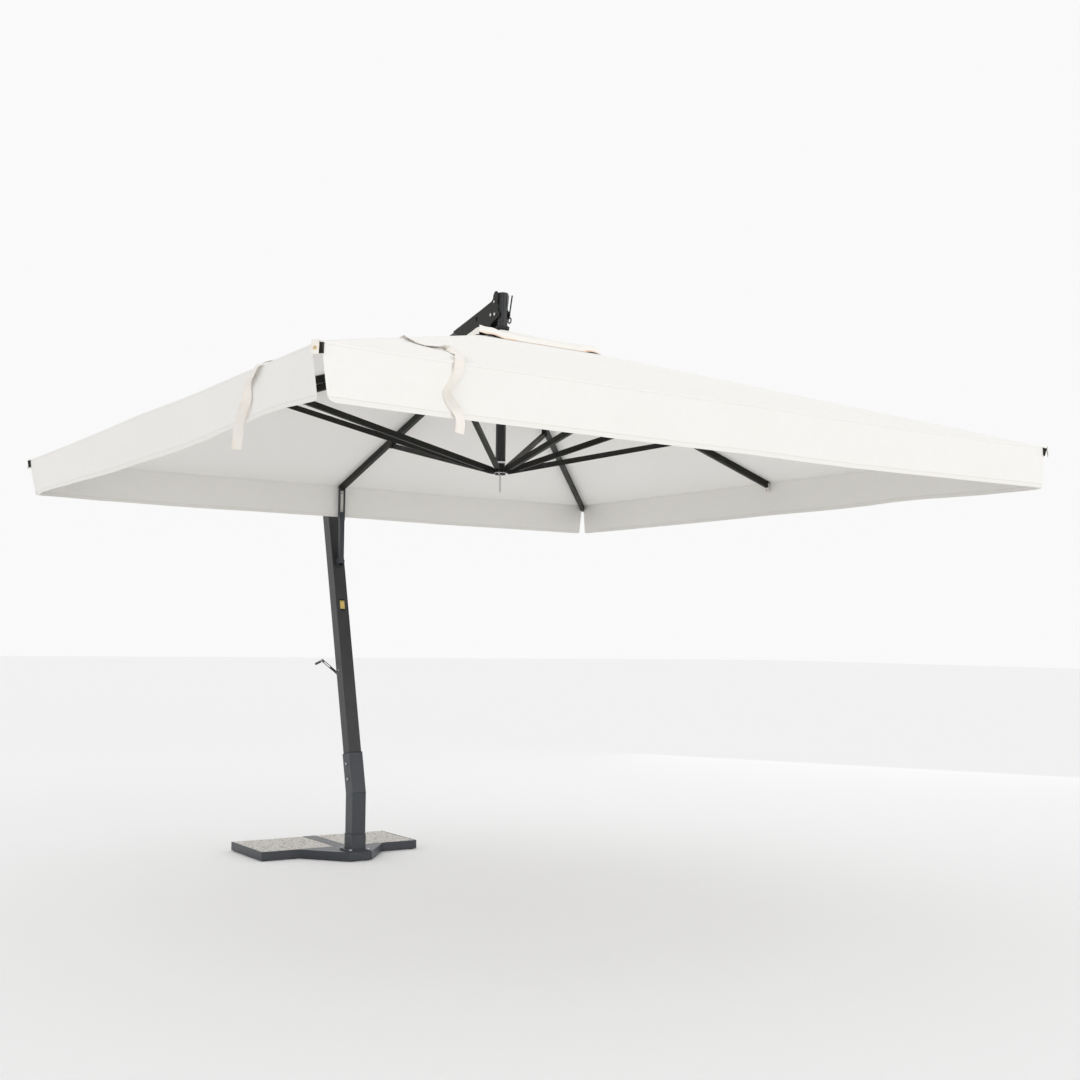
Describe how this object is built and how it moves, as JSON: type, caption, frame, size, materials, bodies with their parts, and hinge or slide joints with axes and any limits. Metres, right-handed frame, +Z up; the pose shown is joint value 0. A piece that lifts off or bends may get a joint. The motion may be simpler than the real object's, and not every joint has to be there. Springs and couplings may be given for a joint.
{
  "type": "cantilever parasol",
  "caption": "Free-standing cantilever parasol: leaning mast on a slab-weighted base, rising arm, and a square cloth canopy on folding ribs with a crank winch.",
  "frame": {"origin": "on the floor under the axis of the post, at the underside of the foot pad there", "axes": "+X from the mast towards the canopy, +Y to the left of that, +Z up"},
  "size_m": [4.4321, 4.0322, 3.347],
  "materials": {
    "frame_aluminium": "satin",
    "frame_steel": "satin",
    "paving": "matte",
    "canopy_cloth": "matte",
    "black_plastic": "matte",
    "pads": "matte",
    "bright_chrome": "polished",
    "zinc": "satin",
    "name_plate": "satin"
  },
  "bodies": {
    "base": {"base_frame": "frame_steel", "paving_slabs": "paving", "foot_pads": "pads", "post_foot": "frame_steel", "flange_bolts": "zinc"},
    "mast": {"sleeve": "frame_steel", "swivel_bush": "black_plastic", "mast": "frame_aluminium", "mast_plate": "name_plate", "winch_housing": "black_plastic", "stay_bracket": "frame_steel", "mast_head": "frame_aluminium", "arm": "frame_aluminium", "frame_bolts": "zinc", "head_cheeks": "frame_aluminium", "pole": "frame_aluminium", "crown": "frame_aluminium", "vent_cap": "canopy_cloth"},
    "lock_knob": {"lock_knob": "black_plastic"},
    "crank": {"crank": "bright_chrome"},
    "crank_knob": {"crank_knob": "black_plastic"},
    "winch_drum": {"winch_drum": "zinc"},
    "mast_pulley": {"mast_pulley": "black_plastic"},
    "head_pulley": {"head_pulley": "black_plastic"},
    "release_lever": {"release_lever": "frame_steel"},
    "stay": {"stay": "frame_steel"},
    "lower_hub": {"lower_hub": "frame_aluminium", "hub_chain": "frame_steel"},
    "rib_front": {"rib_front": "frame_aluminium", "rib_bracket_front": "frame_steel", "canopy_front": "canopy_cloth"},
    "strut_front": {"strut_front": "frame_aluminium"},
    "rib_front_left": {"rib_front_left": "frame_aluminium", "rib_bracket_front_left": "frame_steel", "canopy_front_left": "canopy_cloth"},
    "strut_front_left": {"strut_front_left": "frame_aluminium"},
    "rib_left": {"rib_left": "frame_aluminium", "rib_bracket_left": "frame_steel", "canopy_left": "canopy_cloth"},
    "strut_left": {"strut_left": "frame_aluminium"},
    "rib_rear_left": {"rib_rear_left": "frame_aluminium", "rib_bracket_rear_left": "frame_steel", "canopy_rear_left": "canopy_cloth"},
    "strut_rear_left": {"strut_rear_left": "frame_aluminium"},
    "rib_rear": {"rib_rear": "frame_aluminium", "rib_bracket_rear": "frame_steel", "canopy_rear": "canopy_cloth"},
    "strut_rear": {"strut_rear": "frame_aluminium"},
    "rib_rear_right": {"rib_rear_right": "frame_aluminium", "rib_bracket_rear_right": "frame_steel", "canopy_rear_right": "canopy_cloth"},
    "strut_rear_right": {"strut_rear_right": "frame_aluminium"},
    "rib_right": {"rib_right": "frame_aluminium", "rib_bracket_right": "frame_steel", "canopy_right": "canopy_cloth"},
    "strut_right": {"strut_right": "frame_aluminium"},
    "rib_front_right": {"rib_front_right": "frame_aluminium", "rib_bracket_front_right": "frame_steel", "canopy_front_right": "canopy_cloth"},
    "strut_front_right": {"strut_front_right": "frame_aluminium"}
  },
  "joints": [
    {"name": "post_swivel", "type": "hinge", "parent": "base", "child": "mast", "pos_m": [0, 0, 0], "axis": [0, 0, 1], "range_deg": [-180, 180]},
    {"name": "lock_knob_turn", "type": "hinge", "parent": "mast", "child": "lock_knob", "pos_m": [0, 0, 0.29], "axis": [-1, 0, 0], "range_deg": [0, 720]},
    {"name": "canopy_fold", "type": "hinge", "parent": "mast", "child": "rib_front", "pos_m": [1.772, 0, 3.06331], "axis": [0, 1, 0], "range_deg": [0, 65.81], "deforming": ["canopy_front", "vent_cap"]},
    {"name": "strut_fold_front", "type": "hinge", "parent": "rib_front", "child": "strut_front", "pos_m": [2.95576, 0, 2.63655], "axis": [0, 1, 0], "range_deg": [-137.91, 0]},
    {"name": "rib_fold_front_left", "type": "hinge", "parent": "mast", "child": "rib_front_left", "pos_m": [1.75003, 0.05303, 3.06331], "axis": [-0.7071, 0.7071, 0], "range_deg": [0, 70.2], "deforming": ["canopy_front_left"]},
    {"name": "strut_fold_front_left", "type": "hinge", "parent": "rib_front_left", "child": "strut_front_left", "pos_m": [2.5893, 0.8923, 2.75252], "axis": [-0.7071, 0.7071, 0], "range_deg": [-136.6, 0]},
    {"name": "rib_fold_left", "type": "hinge", "parent": "mast", "child": "rib_left", "pos_m": [1.697, 0.075, 3.06331], "axis": [-1, 0, 0], "range_deg": [0, 65.81], "deforming": ["canopy_left"]},
    {"name": "strut_fold_left", "type": "hinge", "parent": "rib_left", "child": "strut_left", "pos_m": [1.697, 1.25876, 2.63655], "axis": [-1, 0, 0], "range_deg": [-137.91, 0]},
    {"name": "rib_fold_rear_left", "type": "hinge", "parent": "mast", "child": "rib_rear_left", "pos_m": [1.64397, 0.05303, 3.06331], "axis": [-0.7071, -0.7071, 0], "range_deg": [0, 70.2], "deforming": ["canopy_rear_left"]},
    {"name": "strut_fold_rear_left", "type": "hinge", "parent": "rib_rear_left", "child": "strut_rear_left", "pos_m": [0.8047, 0.8923, 2.75252], "axis": [-0.7071, -0.7071, 0], "range_deg": [-136.6, 0]},
    {"name": "rib_fold_rear", "type": "hinge", "parent": "mast", "child": "rib_rear", "pos_m": [1.622, 0, 3.06331], "axis": [0, -1, 0], "range_deg": [0, 65.81], "deforming": ["canopy_rear"]},
    {"name": "strut_fold_rear", "type": "hinge", "parent": "rib_rear", "child": "strut_rear", "pos_m": [0.43823, 0, 2.63655], "axis": [0, -1, 0], "range_deg": [-137.91, 0]},
    {"name": "rib_fold_rear_right", "type": "hinge", "parent": "mast", "child": "rib_rear_right", "pos_m": [1.64397, -0.05303, 3.06331], "axis": [0.7071, -0.7071, 0], "range_deg": [0, 70.2], "deforming": ["canopy_rear_right"]},
    {"name": "strut_fold_rear_right", "type": "hinge", "parent": "rib_rear_right", "child": "strut_rear_right", "pos_m": [0.8047, -0.8923, 2.75252], "axis": [0.7071, -0.7071, 0], "range_deg": [-136.6, 0]},
    {"name": "rib_fold_right", "type": "hinge", "parent": "mast", "child": "rib_right", "pos_m": [1.697, -0.075, 3.06331], "axis": [1, 0, 0], "range_deg": [0, 65.81], "deforming": ["canopy_right"]},
    {"name": "strut_fold_right", "type": "hinge", "parent": "rib_right", "child": "strut_right", "pos_m": [1.697, -1.25876, 2.63655], "axis": [1, 0, 0], "range_deg": [-137.91, 0]},
    {"name": "rib_fold_front_right", "type": "hinge", "parent": "mast", "child": "rib_front_right", "pos_m": [1.75003, -0.05303, 3.06331], "axis": [0.7071, 0.7071, 0], "range_deg": [0, 70.2], "deforming": ["canopy_front_right"]},
    {"name": "strut_fold_front_right", "type": "hinge", "parent": "rib_front_right", "child": "strut_front_right", "pos_m": [2.5893, -0.8923, 2.75252], "axis": [0.7071, 0.7071, 0], "range_deg": [-136.6, 0]},
    {"name": "hub_slide", "type": "slide", "parent": "mast", "child": "lower_hub", "axis": [0, 0, 1], "range_m": [-1.7773, 0]},
    {"name": "crank_turn", "type": "hinge", "parent": "mast", "child": "crank", "pos_m": [-0.18818, 0, 1.22189], "axis": [-0.9728, 0, -0.2317], "range_deg": [0, 5656]},
    {"name": "drum_turn", "type": "hinge", "parent": "mast", "child": "winch_drum", "pos_m": [-0.18818, 0, 1.22189], "axis": [0, -1, 0], "range_deg": [0, 5656]},
    {"name": "grip_spin", "type": "hinge", "parent": "crank", "child": "crank_knob", "pos_m": [-0.32349, -0.10189, 1.2807], "axis": [-0.9728, 0, -0.2317], "continuous": true},
    {"name": "mast_pulley_turn", "type": "hinge", "parent": "mast", "child": "mast_pulley", "pos_m": [-0.53424, 0, 2.78668], "axis": [0, 1, 0], "range_deg": [0, 4072]},
    {"name": "head_pulley_turn", "type": "hinge", "parent": "mast", "child": "head_pulley", "pos_m": [1.671, 0, 3.289], "axis": [0, 1, 0], "range_deg": [0, 4072]},
    {"name": "release_lever_swing", "type": "hinge", "parent": "mast", "child": "release_lever", "pos_m": [1.705, 0.038, 3.219], "axis": [0, 1, 0], "range_deg": [0, 18]},
    {"name": "stay_swing", "type": "hinge", "parent": "mast", "child": "stay", "pos_m": [-0.281, 0, 1.946], "axis": [0, -1, 0], "range_deg": [0, 13]}
  ],
  "couplings": [
    {"joint": "strut_fold_front", "follows": "canopy_fold", "ratio": -2.094},
    {"joint": "rib_fold_front_left", "follows": "canopy_fold", "ratio": 1.066},
    {"joint": "strut_fold_front_left", "follows": "canopy_fold", "ratio": -2.0742},
    {"joint": "rib_fold_left", "follows": "canopy_fold", "ratio": 1},
    {"joint": "strut_fold_left", "follows": "canopy_fold", "ratio": -2.094},
    {"joint": "rib_fold_rear_left", "follows": "canopy_fold", "ratio": 1.066},
    {"joint": "strut_fold_rear_left", "follows": "canopy_fold", "ratio": -2.0742},
    {"joint": "rib_fold_rear", "follows": "canopy_fold", "ratio": 1},
    {"joint": "strut_fold_rear", "follows": "canopy_fold", "ratio": -2.094},
    {"joint": "rib_fold_rear_right", "follows": "canopy_fold", "ratio": 1.066},
    {"joint": "strut_fold_rear_right", "follows": "canopy_fold", "ratio": -2.0742},
    {"joint": "rib_fold_right", "follows": "canopy_fold", "ratio": 1},
    {"joint": "strut_fold_right", "follows": "canopy_fold", "ratio": -2.094},
    {"joint": "rib_fold_front_right", "follows": "canopy_fold", "ratio": 1.066},
    {"joint": "strut_fold_front_right", "follows": "canopy_fold", "ratio": -2.0742},
    {"joint": "hub_slide", "follows": "canopy_fold", "m_per_rad": -1.5465},
    {"joint": "crank_turn", "follows": "canopy_fold", "ratio": 85.916},
    {"joint": "drum_turn", "follows": "canopy_fold", "ratio": 85.916},
    {"joint": "mast_pulley_turn", "follows": "canopy_fold", "ratio": 61.859},
    {"joint": "head_pulley_turn", "follows": "canopy_fold", "ratio": 61.859}
  ]
}
